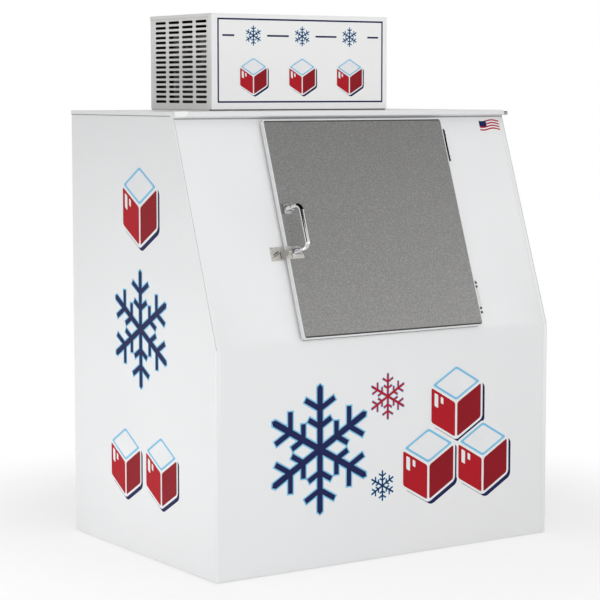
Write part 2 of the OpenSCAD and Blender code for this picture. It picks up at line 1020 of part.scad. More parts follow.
module hood_side() {
    color("white")
        difference() {
            block([-hood_x, panel_y0, hood_low],
                [-hood_x + sheet_t, hood_y1, hood_top_z - sheet_t]);
            for (c = [0 : slot_cols - 1], r = [0 : slot_rows - 1])
                louvre([-hood_x - through, slot_first_y + c * slot_pitch_y,
                    slot_first_z + r * slot_pitch_z], [0, 0, 0]);
        }
}

// Slot with round ends, cut along x
module louvre(at, turned) {
    translate(at)
        rotate(turned)
            rotate([90, 0, 90])
                linear_extrude(sheet_t + 2 * through) {
                    square([slot_l - slot_h, slot_h], center = true);
                    for (s = [-1, 1])
                        translate([s * (slot_l - slot_h) / 2, 0])
                            circle(d = slot_h);
                }
}

module hood_side_left() hood_side();

module hood_side_right() mirror([1, 0, 0]) hood_side();

module hood_back() {
    cols = 5;
    first_x = -(cols - 1) / 2 * slot_pitch_y;
    rows = 9;
    color("white")
        difference() {
            block([-hood_x + sheet_t, hood_y1 - sheet_t, hood_low],
                [hood_x - sheet_t, hood_y1, hood_top_z - sheet_t]);
            for (c = [0 : cols - 1], r = [0 : rows - 1])
                louvre([first_x + c * slot_pitch_y, hood_y1 + through,
                    slot_first_z + (r + slot_rows - rows) * slot_pitch_z], [0, 0, -90]);
            bushing_hole();
        }
}

module bushing_hole() {
    translate([bushing_x, hood_y1 - sheet_t - through, bushing_z])
        rotate([-90, 0, 0])
            cylinder(d = bushing_d, h = sheet_t + 2 * through);
}

// Rubber bushing with a rim on each side of the sheet
module cord_bushing() {
    bore = 9;
    rim_d = bushing_d + 6;
    rim_t = 2;
    color("dimgray")
        translate([bushing_x, hood_y1, bushing_z])
            rotate([90, 0, 0])
                difference() {
                    union() {
                        translate([0, 0, -rim_t])
                            cylinder(d = rim_d, h = rim_t);
                        cylinder(d = bushing_d, h = sheet_t);
                        translate([0, 0, sheet_t])
                            cylinder(d = rim_d, h = rim_t);
                    }
                    translate([0, 0, -rim_t - through])
                        cylinder(d = bore, h = sheet_t + 2 * rim_t + 2 * through);
                }
}

module hood_top() {
    rim_h = 10;
    color("white")
        difference() {
            block([-hood_x - sheet_t, panel_y0, hood_top_z - sheet_t - rim_h],
                [hood_x + sheet_t, hood_y1 + sheet_t, hood_top_z]);
            block([-hood_x, panel_y0 - through, hood_top_z - sheet_t - rim_h - through],
                [hood_x, hood_y1, hood_top_z - sheet_t]);
        }
}

module sign_tray() {
    color("white")
        difference() {
            block([-hood_x - sheet_t, hood_y0, hood_low],
                [hood_x + sheet_t, panel_y0, hood_top_z]);
            block([-hood_x, hood_y0 + sheet_t, hood_low + sheet_t],
                [hood_x, panel_y0 - sheet_t, hood_top_z - sheet_t]);
        }
}

// Condensing unit

module condenser_coil() {
    fin_pitch = 6;
    fin_t = 1;
    fins = floor((coil_w - 2 * coil_plate_t) / fin_pitch) - 1;
    fins_y0 = coil_y0 + (coil_w - fins * fin_pitch) / 2;
    core_in = 8;
    bends = 5;
    bend_pitch = coil_h / (bends + 0.5);
    color("darkgray") {
        block([coil_x + core_in, coil_y0, coil_z0],
            [coil_x + coil_t - core_in, coil_y0 + coil_w, coil_z0 + coil_h]);
        for (i = [0 : fins])
            block([coil_x + 1, fins_y0 + i * fin_pitch - fin_t / 2, coil_z0],
                [coil_x + coil_t - 1, fins_y0 + i * fin_pitch + fin_t / 2, coil_z0 + coil_h]);
        for (y = [coil_y0, coil_y0 + coil_w - coil_plate_t])
            block([coil_x, y, coil_z0 - 6], [coil_x + coil_t, y + coil_plate_t, coil_z0 + coil_h]);
    }
    color("peru")
        for (i = [0 : bends - 1])
            translate([coil_x + coil_t / 2, coil_y0 + coil_w, coil_z0 + (i + 0.75) * bend_pitch])
                rotate([90, 0, 90])
                    rotate_extrude(angle = 180)
                        translate([bend_pitch / 3, 0])
                            circle(d = pipe_d - 1);
}

module fan_shroud() {
    ring_d = fan_d + 2 * ring_gap;
    color("darkgray")
        difference() {
            union() {
                block([shroud_x, coil_y0, coil_z0 - 6],
                    [shroud_x + shroud_t, coil_y0 + coil_w, coil_z0 + coil_h]);
                translate([shroud_x + shroud_t - eps, coil_mid_y, coil_mid_z])
                    rotate([0, 90, 0])
                        cylinder(d = ring_d + 2 * shroud_t, h = ring_depth);
            }
            translate([shroud_x - through, coil_mid_y, coil_mid_z])
                rotate([0, 90, 0])
                    cylinder(d = ring_d, h = ring_depth + 3 * through);
        }
}

module condenser_motor() {
    color("dimgray")
        translate([motor_x, coil_mid_y, coil_mid_z])
            rotate([0, 90, 0]) {
                cylinder(d = motor_d, h = motor_l);
                translate([0, 0, motor_l])
                    cylinder(d = motor_d * 0.6, h = 8);
                translate([0, 0, -4])
                    cylinder(d = motor_d * 0.35, h = 4);
                translate([0, 0, -fan_shaft_l])
                    cylinder(d = shaft_d, h = fan_shaft_l);
            }
}

module condenser_fan() {
    color("dimgray")
        translate([fan_x, coil_mid_y, coil_mid_z])
            rotate([0, 90, 0])
                fan(fan_d, fan_hub_d, fan_hub_l, shaft_d + 2 * shaft_clearance, 5, 32, 1.6);
}

// Bracket: a foot on the deck, an upright web and a band round the motor
module motor_bracket() {
    band_d = motor_d + 2 * band_t;
    x0 = motor_x + motor_l - band_w;
    color("silver")
        difference() {
            union() {
                translate([x0, coil_mid_y, coil_mid_z])
                    rotate([0, 90, 0])
                        cylinder(d = band_d, h = band_w);
                block([x0, coil_mid_y - band_w / 2, deck_z],
                    [x0 + band_t, coil_mid_y + band_w / 2, coil_mid_z]);
                translate([x0 - bracket_l / 2, coil_mid_y - bracket_w / 2, deck_z])
                    cube([bracket_l, bracket_w, band_t]);
            }
            translate([motor_x - through, coil_mid_y, coil_mid_z])
                rotate([0, 90, 0])
                    cylinder(d = motor_d, h = motor_l + 2 * through);
        }
}

// Compressor: a welded pot with a rim, four lugs, two stubs and a terminal box
module compressor() {
    shoulder = 34;
    rim_t = 5;
    terminal = [terminal_w, terminal_d, terminal_w];
    stub_root = 6;
    r = pot_d / 2;
    color("dimgray")
        translate([pot_x, pot_y, pot_base_z]) {
            difference() {
                union() {
                    rotate_extrude()
                        pot_section(r, shoulder);
                    translate([0, 0, pot_h * 0.55])
                        cylinder(r = r + pot_rim, h = rim_t);
                    for (a = [45 : 90 : 315])
                        rotate([0, 0, a])
                            translate([r / 2, -lug_w / 2, 0])
                                cube([lug_r - r / 2 + lug_w / 2, lug_w, lug_t]);
                }
                for (a = [45 : 90 : 315])
                    rotate([0, 0, a])
                        translate([lug_r, 0, -through])
                            cylinder(d = stud_d + 0.6, h = lug_t + 2 * through);
            }
            for (a = [180, 270])
                rotate([0, 0, a])
                    translate([r - stub_root, 0, pot_h * stub_z_share])
                        rotate([0, 90, 0])
                            cylinder(d = pipe_d, h = stub_l + stub_root);
            translate([-terminal.x / 2, r - stub_root, pot_h * 0.25])
                cube(terminal);
        }
}

// Half section of the pot, with rounded shoulders
module pot_section(r, shoulder) {
    square([r - shoulder, pot_h]);
    translate([0, shoulder])
        square([r, pot_h - 2 * shoulder]);
    for (z = [shoulder, pot_h - shoulder])
        intersection() {
            translate([r - shoulder, z])
                circle(shoulder);
            square([r, pot_h]);
        }
}

module compressor_grommets() {
    stud_h = 12;
    color("black")
        translate([pot_x, pot_y, deck_z])
            for (a = [45 : 90 : 315])
                rotate([0, 0, a])
                    translate([lug_r, 0, 0]) {
                        cylinder(d = 24, h = grommet_h);
                        cylinder(d = stud_d, h = grommet_h + stud_h);
                    }
}

module filter_drier() {
    color("peru")
        translate([drier_x, drier_y0, drier_z])
            rotate([-90, 0, 0]) {
                cylinder(d = drier_d, h = drier_l);
                translate([0, 0, -drier_stub])
                    cylinder(d = pipe_d + 4, h = drier_l + 2 * drier_stub);
            }
}

// Band round the drier with a foot on the deck
module drier_clip() {
    clip_w = 18;
    clip_t = 2;
    foot = 30;
    mid_y = drier_y0 + drier_l / 2;
    color("silver")
        difference() {
            union() {
                translate([drier_x, mid_y - clip_w / 2, drier_z])
                    rotate([-90, 0, 0])
                        cylinder(d = drier_d + 2 * clip_t, h = clip_w);
                block([drier_x - foot / 2, mid_y - clip_w / 2, deck_z],
                    [drier_x + foot / 2, mid_y + clip_w / 2, drier_z - drier_d / 4]);
            }
            translate([drier_x, mid_y - clip_w, drier_z])
                rotate([-90, 0, 0])
                    cylinder(d = drier_d, h = 2 * clip_w);
        }
}

// Pipes of the refrigerant circuit: discharge to the coil, coil to drier, drier to the
// evaporator and evaporator back to the compressor
module refrigerant_pipes() {
    stub_end = pot_d / 2 + stub_l;
    stub_z = pot_base_z + pot_h * stub_z_share;
    plate_x = shroud_x + shroud_t;
    front_run_y = pot_y - stub_end - pipe_bend;
    return_y = front_run_y + 4;
    corner_x = box_x - pipe_d / 2 - 3;
    drier_in = drier_y0 - drier_stub;
    drier_out = drier_y0 + drier_l + drier_stub;
    $fn = 20;
    color("peru") {
        bent_rod([
            [pot_x, pot_y - stub_end, stub_z],
            [pot_x, front_run_y, stub_z],
            [plate_x, front_run_y, stub_z]], pipe_d, pipe_bend);
        bent_rod([
            [plate_x, return_y, drier_z],
            [corner_x, return_y, drier_z],
            [corner_x, drier_in - pipe_bend, drier_z],
            [drier_x, drier_in - pipe_bend, drier_z],
            [drier_x, drier_in, drier_z]], pipe_d, pipe_bend);
        bent_rod([
            [drier_x, drier_out, drier_z],
            [drier_x, drier_out + 2 * pipe_bend, drier_z],
            [liquid_x, drier_out + 2 * pipe_bend, drier_z],
            [liquid_x, pipe_y, drier_z],
            [liquid_x, pipe_y, evap_pipe_z],
            [liquid_x, evap_coil_y, evap_pipe_z]], pipe_d, pipe_bend);
        bent_rod([
            [suction_x, evap_coil_y, evap_pipe_z],
            [suction_x, pipe_y, evap_pipe_z],
            [suction_x, pipe_y, stub_z],
            [suction_x, pot_y, stub_z],
            [pot_x - stub_end, pot_y, stub_z]], pipe_d, pipe_bend);
    }
}

// Electrical box with an overhanging lid
module control_box() {
    box_d = 60;
    lid_t = 8;
    lid_over = 2;
    box_top = deck_z + box_h;
    color("gray") {
        block([box_x, box_y0, deck_z], [box_x + box_w, box_y0 + box_d, box_top]);
        block([box_x - lid_over, box_y0 - lid_over, box_top - lid_t],
            [box_x + box_w + lid_over, box_y0 + box_d + lid_over, box_top + 1]);
    }
}

// Insulated plug that closes the roof's cut-out round the pipes
module roof_plug() {
    color("khaki")
        difference() {
            block([plug_x - plug_w / 2, plug_y - plug_l / 2, ceiling_z],
                [plug_x + plug_w / 2, plug_y + plug_l / 2, deck_z]);
            for (x = [liquid_x, suction_x])
                translate([x, pipe_y, ceiling_z - through])
                    cylinder(d = pipe_d, h = roof_t + 2 * through + sheet_t);
        }
}

// Evaporator unit

module evaporator_housing() {
    t = skin_t;
    color("gainsboro")
        difference() {
            block([-evap_w / 2, evap_y0, evap_low], [evap_w / 2, evap_y1, ceiling_z]);
            block([-evap_w / 2 + t, evap_y0 + t, evap_low + t],
                [evap_w / 2 - t, evap_y1 + through, ceiling_z + through]);
            for (s = [-1, 1])
                translate([s * evap_fan_x, evap_y0 - through, evap_fan_z])
                    rotate([-90, 0, 0])
                        cylinder(d = evap_hole_d, h = 4 * through);
        }
}

// Finned coil hung from the ceiling by its end plates
module evaporator_coil() {
    fin_pitch = 9;
    fin_t = 1;
    end_t = 2;
    core_in = 12;
    length = evap_w - 60;
    high = ceiling_z - 10;
    fins = floor((length - 2 * end_t) / fin_pitch) - 1;
    first_x = -fins * fin_pitch / 2;
    low = [-length / 2, evap_coil_y, evap_coil_z];
    color("silver") {
        block(low + [0, core_in, core_in],
            [length / 2, evap_coil_y + evap_coil_d - core_in, high - core_in]);
        for (i = [0 : fins])
            block([first_x + i * fin_pitch - fin_t / 2, evap_coil_y, evap_coil_z],
                [first_x + i * fin_pitch + fin_t / 2, evap_coil_y + evap_coil_d, high]);
        for (x = [-length / 2, length / 2 - end_t])
            block([x, evap_coil_y, evap_coil_z], [x + end_t, evap_coil_y + evap_coil_d, ceiling_z]);
    }
}

module evaporator_motors() {
    color("dimgray")
        for (s = [-1, 1])
            translate([s * evap_fan_x, evap_motor_y, evap_fan_z])
                rotate([-90, 0, 0]) {
                    cylinder(r = evap_motor_r, h = evap_motor_l);
                    translate([0, 0, evap_fan_y - evap_motor_y])
                        cylinder(d = evap_shaft_d, h = evap_motor_y - evap_fan_y + 1);
                }
}

// Wire guards on the housing's front: rings on a cross of two long wires
module fan_guards() {
    reach = evap_hole_d / 2 + guard_past;
    $fn = 24;
    color("silver")
        for (s = [-1, 1])
            translate([s * evap_fan_x, evap_y0 - wire / 2, evap_fan_z]) {
                for (a = [45, 135])
                    rotate([0, a, 0])
                        translate([-reach, 0, 0])
                            rotate([0, 90, 0])
                                cylinder(d = wire, h = 2 * reach);
                rotate([90, 0, 0])
                    for (r = [ring_step : ring_step : evap_hole_d / 2])
                        rotate_extrude()
                            translate([r, wire * 0.6])
                                circle(d = wire);
            }
}

// Each motor hangs in a strap bent from the housing's front round its back
module evaporator_brackets() {
    strap_w = 18;
    t = 2.5;
    reach = evap_fan_d / 2 + 9;
    y0 = evap_y0 + skin_t;
    y1 = evap_motor_y + evap_motor_l;
    color("silver")
        for (s = [-1, 1])
            translate([s * evap_fan_x, 0, evap_fan_z - strap_w / 2]) {
                block([-reach - t, y1, 0], [reach + t, y1 + t, strap_w]);
                for (m = [0, 1])
                    mirror([m, 0, 0]) {
                        block([reach, y0, 0], [reach + t, y1 + t, strap_w]);
                        block([reach, y0, 0], [reach + 12, y0 + t, strap_w]);
                    }
            }
}

module evaporator_fan() {
    translate([evap_fan_x, evap_fan_y, evap_fan_z])
        rotate([-90, 0, 0])
            fan(evap_fan_d, evap_hub_d, evap_hub_l, evap_shaft_d + 2 * shaft_clearance, 5, 35, 1.4);
}

module evaporator_fan_right() color("dimgray") evaporator_fan();

module evaporator_fan_left() color("dimgray") mirror([1, 0, 0]) evaporator_fan();

// Tray under the coil, with its drain at the back
module drain_pan() {
    wall = 2;
    side_gap = 14;
    x = evap_w / 2 - side_gap;
    y0 = evap_coil_y - 25;
    y1 = evap_y1 - wall;
    z = evap_low + skin_t;
    color("gainsboro")
        difference() {
            block([-x, y0, z], [x, y1, z + pan_h]);
            block([-x + wall, y0 + wall, z + wall], [x - wall, y1 - wall, z + pan_h + through]);
            translate([drain_x, y1 - wall - through, drain_z()])
                rotate([-90, 0, 0])
                    cylinder(d = drain_d - 2 * drain_wall, h = wall + 2 * through);
        }
}

module drain_tube() {
    length = back_y - skin_t - evap_y1 + 2;
    color("white")
        translate([drain_x, evap_y1 - 2, drain_z()])
            rotate([-90, 0, 0])
                difference() {
                    cylinder(d = drain_d, h = length);
                    translate([0, 0, -through])
                        cylinder(d = drain_d - 2 * drain_wall, h = length + 2 * through);
                }
}

base_runners();
base_pan();
side_panel_left();
side_panel_right();
back_panel();
front_panel();
roof_cap();
insulation_floor();
insulation_left();
insulation_right();
insulation_back();
insulation_roof();
insulation_front();
insulation_slope();
inner_liner();
opening_frame();
rain_gutter();
hinge_base_upper();
hinge_base_lower();
hinge_pins();
lock_keeper();
hood_base();
hood_side_left();
hood_side_right();
hood_back();
hood_top();
sign_tray();
condenser_coil();
fan_shroud();
condenser_motor();
motor_bracket();
condenser_fan();
compressor();
compressor_grommets();
filter_drier();
refrigerant_pipes();
control_box();
cord_bushing();
roof_plug();
evaporator_housing();
evaporator_coil();
evaporator_motors();
fan_guards();
evaporator_brackets();
evaporator_fan_left();
evaporator_fan_right();
drain_pan();
drain_tube();
frame_screws();
drier_clip();
door_skin();
door_frame();
door_insulation();
door_liner();
door_gasket();
pull_handle();
handle_screws();
lock_strap();
hinge_strap_upper();
hinge_strap_lower();
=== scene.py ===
"""Slant-front freezer for bagged ice: the looks of its sheet metal, door, hood and fittings."""
import json
from math import atan2, cos, pi, radians, sin, tan

import bmesh
import bpy
from mathutils import Matrix, Vector

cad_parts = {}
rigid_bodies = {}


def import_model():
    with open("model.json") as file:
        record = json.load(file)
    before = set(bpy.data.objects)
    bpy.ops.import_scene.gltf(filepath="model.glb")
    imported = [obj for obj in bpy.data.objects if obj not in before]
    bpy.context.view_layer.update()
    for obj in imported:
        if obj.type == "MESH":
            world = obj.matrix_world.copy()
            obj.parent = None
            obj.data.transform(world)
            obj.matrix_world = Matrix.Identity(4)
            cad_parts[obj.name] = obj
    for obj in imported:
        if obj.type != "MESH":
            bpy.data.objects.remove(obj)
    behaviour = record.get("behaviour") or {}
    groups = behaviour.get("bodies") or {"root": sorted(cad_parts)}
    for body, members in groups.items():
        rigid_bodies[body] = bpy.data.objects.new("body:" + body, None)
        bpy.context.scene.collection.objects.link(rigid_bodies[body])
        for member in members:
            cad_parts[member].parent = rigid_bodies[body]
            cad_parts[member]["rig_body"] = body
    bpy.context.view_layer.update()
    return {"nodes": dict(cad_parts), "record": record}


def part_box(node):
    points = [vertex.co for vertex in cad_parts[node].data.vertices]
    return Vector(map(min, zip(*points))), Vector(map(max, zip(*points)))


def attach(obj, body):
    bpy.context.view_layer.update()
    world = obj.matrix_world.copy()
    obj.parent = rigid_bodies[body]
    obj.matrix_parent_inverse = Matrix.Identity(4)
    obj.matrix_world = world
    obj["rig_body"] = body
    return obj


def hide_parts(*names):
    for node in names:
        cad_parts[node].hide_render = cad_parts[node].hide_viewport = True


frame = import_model()

# Camera: a long lens at about chest height, in front of the cabinet's left corner, looking
# slightly down on the roof.
camera_data = bpy.data.cameras.new("camera")
camera_data.sensor_width = 36
camera_data.lens = 120.97
camera_data.clip_end = 60
camera = bpy.data.objects.new("camera", camera_data)
camera.location = (-3.7519, -5.5573, 1.4813)
camera.rotation_euler = (radians(90 - 5.914), 0, radians(-33.739))
bpy.context.scene.collection.objects.link(camera)
bpy.context.scene.camera = camera

# Light: a white studio. The world fills from all sides, soft boxes stand in front, at both
# sides and overhead, and everything past the floor shows white.
scene = bpy.context.scene
scene.view_settings.view_transform = "Standard"
FILL = 0.32
world = bpy.data.worlds.new("studio")
world.use_nodes = True
scene.world = world


class Link:
    """A node's output, with the sums that shaders need written as on a number."""

    def __init__(self, nodes, socket):
        self.nodes, self.socket = nodes, socket

    def sum(self, operation, a, b):
        return self.nodes.add("ShaderNodeMath", {"operation": operation}, {0: a, 1: b})

    def __add__(self, other):
        return self.sum("ADD", self, other)

    def __sub__(self, other):
        return self.sum("SUBTRACT", self, other)

    def __rsub__(self, other):
        return self.sum("SUBTRACT", other, self)

    def __mul__(self, other):
        return self.sum("MULTIPLY", self, other)

    __radd__ = __add__
    __rmul__ = __mul__


class Nodes:
    """A node tree whose nodes are made and fed by one call each."""

    def __init__(self, tree):
        self.tree = tree

    def add(self, kind, settings, sockets, output=0):
        node = self.tree.nodes.new(kind)
        for setting, value in settings.items():
            setattr(node, setting, value)
        for socket, value in sockets.items():
            self.feed(node.inputs[socket], value)
        return Link(self, node.outputs[output])

    def feed(self, socket, value):
        if isinstance(value, Link):
            self.tree.links.new(value.socket, socket)
        else:
            socket.default_value = value


sky = Nodes(world.node_tree)
path = {ray: sky.add("ShaderNodeLightPath", {}, {}, "Is %s Ray" % ray)
        for ray in ("Camera", "Glossy", "Transmission")}
shown = path["Camera"].sum("MAXIMUM", path["Camera"], path["Glossy"])
shown = shown.sum("MAXIMUM", shown, path["Transmission"])
backdrop = sky.tree.nodes["Background"].inputs
sky.feed(backdrop["Strength"], FILL + shown * (1.0 - FILL))
sky.feed(backdrop["Color"], (1, 1, 1, 1))


def lamp(name, place, aim, size, watts):
    data = bpy.data.lights.new(name, "AREA")
    data.shape = "RECTANGLE"
    data.size, data.size_y = size
    data.energy = watts
    made = bpy.data.objects.new(name, data)
    made.location = place
    made.rotation_euler = (Vector(aim) - Vector(place)).to_track_quat("-Z", "Y").to_euler()
    made.visible_camera = False
    scene.collection.objects.link(made)
    return made


overhead = lamp("overhead", (-0.3, -0.5, 4.5), (0, -0.1, 0.8), (3.6, 3.6), 60)
overhead.visible_glossy = False
lamp("front_left", (-2.6, -4.6, 1.9), (0, -0.2, 0.8), (2.2, 2.2), 63).visible_glossy = False
lamp("front", (0.2, -4.6, 1.5), (0, -0.2, 0.7), (3.0, 1.6), 14)
lamp("front_high", (-0.2, -4.0, 3.6), (0, -0.2, 0.9), (3.0, 2.0), 21).visible_glossy = False
lamp("front_right", (3.4, -3.6, 1.4), (0.1, -0.2, 0.6), (2.2, 2.2), 21)
lamp("left", (-2.1, 0.32, 0.50), (-0.65, 0.12, 0.55), (2.3, 0.6), 13)

# Floor: a seamless white sweep. It takes the cabinet's shadow near by and turns plain white
# further out, so that no horizon shows.


class Finish(Nodes):
    """A material with one Principled shader, whose sockets are set and fed by name."""

    def __init__(self, name, **sockets):
        self.material = bpy.data.materials.new(name)
        self.material.use_nodes = True
        super().__init__(self.material.node_tree)
        self.shader = self.tree.nodes["Principled BSDF"]
        self.place = self.add("ShaderNodeTexCoord", {}, {}, "Object")
        self.look(**sockets)

    def look(self, **sockets):
        """Values and links for the shader's sockets, named with _ for a space."""
        for socket, value in sockets.items():
            self.feed(self.shader.inputs[socket.replace("_", " ")], value)

    def noise(self, scale, detail=2.0, roughness=0.5, stretch=(1, 1, 1)):
        spot = self.place
        if stretch != (1, 1, 1):
            spot = self.add("ShaderNodeMapping", {}, {"Vector": spot, "Scale": stretch})
        return self.add("ShaderNodeTexNoise", {}, {
            "Vector": spot, "Scale": scale, "Detail": detail, "Roughness": roughness})

    def between(self, mask, first, second):
        """Colour that goes from first to second with the mask."""
        return self.add("ShaderNodeMix", {"data_type": "RGBA"}, {0: mask, 6: first, 7: second}, 2)

    def step(self, value, low, high):
        """Value eased from 0 at low to 1 at high."""
        return self.add("ShaderNodeMapRange", {"interpolation_type": "SMOOTHSTEP"}, {
            "Value": value, "From Min": low, "From Max": high})

    def relief(self, height, metres, strength=1.0):
        """Surface normal of a relief whose height 1 stands that many metres out."""
        self.feed(self.shader.inputs["Normal"], self.add("ShaderNodeBump", {}, {
            "Height": height, "Distance": metres, "Strength": strength}))


def grey(value, blue=0.0):
    return (value, value + blue * 0.4, value + blue, 1)


def stood(name, shape, *materials):
    """Object of a bmesh, put in the scene."""
    data = bpy.data.meshes.new(name)
    shape.to_mesh(data)
    shape.free()
    for material in materials:
        data.materials.append(material)
    made = bpy.data.objects.new(name, data)
    scene.collection.objects.link(made)
    return made


NEAR, FAR = 0.9, 1.9
SHOWN = 0.36
FLOOR_REACH = 14
sweep = Finish("white_sweep", Base_Color=grey(0.92), Roughness=0.9, Specular_IOR_Level=0.1)
reach = sweep.add("ShaderNodeVectorMath", {"operation": "LENGTH"}, {0: sweep.place}, "Value")
glow = sweep.add("ShaderNodeEmission", {}, {"Color": (1, 1, 1, 1), "Strength": 1.0})
seen_white = 1.0 - SHOWN + sweep.step(reach, NEAR, FAR) * SHOWN
plain = sweep.add("ShaderNodeLightPath", {}, {}, "Is Camera Ray")
blended = sweep.add("ShaderNodeMixShader", {}, {
    0: seen_white * plain, 1: Link(sweep, sweep.shader.outputs[0]), 2: glow})
sweep.feed(sweep.tree.nodes["Material Output"].inputs["Surface"], blended)
disc = bmesh.new()
bmesh.ops.create_circle(disc, cap_ends=True, segments=64, radius=FLOOR_REACH)
floor = stood("floor", disc, sweep.material)

# Black ceiling: a flat that hangs over the cabinet and shows only mirrored in bright metal, as
# its dark lines. Its rim lies nearer in front than at the sides.
cloth = Finish("black_cloth", Base_Color=grey(0.004), Roughness=1.0, Specular_IOR_Level=0.0)
CEILING, MIDDLE = 3.0, -0.4
RIM = ((-120, 4.4), (-100, 8.0), (-95, 8.1), (-88, 6.8), (-82, 5.8), (-75, 5.0), (-68, 4.5),
       (-60, 4.0), (-54, 3.7), (-46, 3.35), (-40, 3.25), (-32, 3.4), (-15, 3.2), (0, 3.1),
       (15, 3.2), (34, 3.5), (43, 3.8), (46, 6.5), (60, 8.5), (80, 10.0), (110, 8.0), (140, 6.0),
       (180, 6.0), (210, 5.5))
ceiling = bmesh.new()
ceiling.faces.new([ceiling.verts.new((-sin(radians(turn)) * out,
                                      MIDDLE - cos(radians(turn)) * out, CEILING))
                   for turn, out in RIM])
bmesh.ops.triangulate(ceiling, faces=ceiling.faces[:])
black_ceiling = stood("black_ceiling", ceiling, cloth.material)
black_ceiling.visible_camera = black_ceiling.visible_diffuse = False
black_ceiling.visible_shadow = black_ceiling.visible_transmission = False

# Cabinet skins: the side panels are folded from one sheet each, the front is one sheet bent
# at the knee and cut out for the door, and the roof cap and back close them. All are steel
# with a baked white enamel, slightly uneven as sprayed paint is.
def enamel(name, tone, roughness, blue=0.012):
    paint = Finish(name, Coat_Weight=0.25, Coat_Roughness=0.12)
    cloud = paint.noise(2.2, 3.0)
    peel = paint.noise(420, 2.0)
    specks = paint.noise(95, 4.0, 0.62)
    shade = paint.between(cloud, grey(tone - 0.012, blue), grey(tone + 0.012, blue))
    dust = paint.step(specks, 0.60, 0.78) * 0.05
    paint.look(Base_Color=paint.between(dust, shade, grey(tone * 0.86, 0.01)),
               Roughness=roughness + cloud * 0.06 + peel * 0.05)
    paint.relief(peel, 0.00012, 0.35)
    return paint.material


def finished(bm, name, body, material, node=None):
    """Object of a bmesh that rides on a body, with round edges shaded smooth and large faces
    kept flat."""
    made = stood(name, bm, *(material if isinstance(material, list) else [material]))
    made.data.shade_smooth()
    made.data.set_sharp_from_angle(angle=radians(32))
    flat = made.modifiers.new("flat", "WEIGHTED_NORMAL")
    flat.keep_sharp = True
    flat.weight = 100
    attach(made, body)
    if node:
        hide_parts(node)


def eased(node, radius, segments=2, least=30, bends=None):
    """The shape of a CAD node with its sharp edges rounded, as cut and folded sheet is. Where
    bends is given, the edges that it picks are rounded wider, as the outside of a fold is."""
    bm = bmesh.new()
    bm.from_mesh(frame["nodes"][node].data)
    bmesh.ops.remove_doubles(bm, verts=bm.verts, dist=1e-6)
    bmesh.ops.dissolve_limit(bm, angle_limit=radians(0.3), verts=bm.verts, edges=bm.edges)
    if bends:
        bmesh.ops.bevel(bm, geom=[e for e in bm.edges if bends(e)], offset=FOLD,
                        offset_type="OFFSET", segments=4, profile=0.5, affect="EDGES",
                        clamp_overlap=True, material=-1)
    sharp = [e for e in bm.edges if e.is_manifold and e.calc_face_angle() > radians(least)]
    bmesh.ops.bevel(bm, geom=sharp, offset=radius, offset_type="OFFSET", segments=segments,
                    profile=0.5, affect="EDGES", clamp_overlap=True, material=-1)
    return bm


def body_of(node):
    return frame["nodes"][node]["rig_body"]


def dress(node, material, radius, segments=2, least=30, bends=None):
    """Eased piece in place of a CAD node."""
    finished(eased(node, radius, segments, least, bends), node + "_part", body_of(node),
             material, node)


FOLD = 0.0038
CORNER = 0.6470


def corner_fold(edge):
    """Whether an edge is the outer fold between a side and the front."""
    outer = all(abs(corner.co.x) > CORNER for corner in edge.verts)
    return outer and any(face.normal.y < -0.5 for face in edge.link_faces) and any(
        abs(face.normal.x) > 0.9 for face in edge.link_faces)


def paint_nodes(material, *nodes):
    """Finish on CAD nodes whose own shape stays."""
    for node in nodes:
        frame["nodes"][node].material_slots[0].material = material


cabinet_white = enamel("cabinet_enamel", 0.80, 0.38)
for node in ("back_panel", "front_panel", "roof_cap"):
    dress(node, cabinet_white, 0.0005)
for node in ("side_panel_left", "side_panel_right"):
    dress(node, cabinet_white, 0.0004, bends=corner_fold)

# Rain gutter: folded from white enamelled sheet under the roof's edge, with a moulded cap on
# its left end and a steel spout in the right one. A thin grey strip on the slope under it is
# painted shade.
SPOUT_FROM = 0.6425
gutter = eased("rain_gutter", 0.0008)
for face in gutter.faces:
    face.material_index = int(face.calc_center_median().x > SPOUT_FROM)
spout_steel = Finish("spout_steel", Metallic=0.9)
drawn_tube = spout_steel.noise(150, 3.0, 0.6, (0.1, 1, 1))
spout_steel.look(Base_Color=spout_steel.between(drawn_tube, grey(0.34), grey(0.46)),
                 Roughness=0.25 + drawn_tube * 0.2)
gutter_white = enamel("gutter_enamel", 0.76, 0.34)
finished(gutter, "rain_gutter_part", "cabinet", [gutter_white, spout_steel.material],
         "rain_gutter")


def laid(right, up, origin):
    """Place on a flat side of the cabinet: what is right, up and outwards there. On the slope,
    corners are given across, up from the knee, and off the side panels' flanges."""
    out = Vector(right).cross(Vector(up))
    turn = Matrix((Vector(right), Vector(up), out)).transposed().to_4x4()
    return Matrix.Translation(origin) @ turn


FRONT, KNEE = -0.457, 0.706
LEAN = atan2(0.254, 0.712)
SHEET_FACE = -0.0012
slope = laid((1, 0, 0), (0, sin(LEAN), cos(LEAN)), (0, FRONT, KNEE))


# Strip finishes: grey and pale for painted shade lines, dark for painted shade and dark strips.
def line_paint(name, tone):
    line_material = Finish(name, Roughness=0.6)
    line_material.look(Base_Color=line_material.between(line_material.noise(60, 3.0), grey(tone), grey(tone * 1.4)))
    line_material.relief(line_material.noise(180), 0.0003, 0.4)
    return line_material.material


dark_lines = line_paint("dark_lines", 0.050)
grey_shade_lines = line_paint("grey_shade_lines", 0.24)
pale_shade_lines = line_paint("pale_shade_lines", 0.38)


def rounded_block(low, high, radius, place):
    """Bar between two corners, with rounded edges, in a place's own directions."""
    run = bmesh.new()
    bmesh.ops.create_cube(run, size=1)
    bmesh.ops.scale(run, verts=run.verts, vec=Vector(high) - Vector(low))
    bmesh.ops.bevel(run, geom=run.edges[:], offset=radius, segments=3, profile=0.5,
                    affect="EDGES", material=-1)
    middle = (Vector(low) + Vector(high)) / 2
    bmesh.ops.transform(run, verts=run.verts, matrix=place @ Matrix.Translation(middle))
    return run


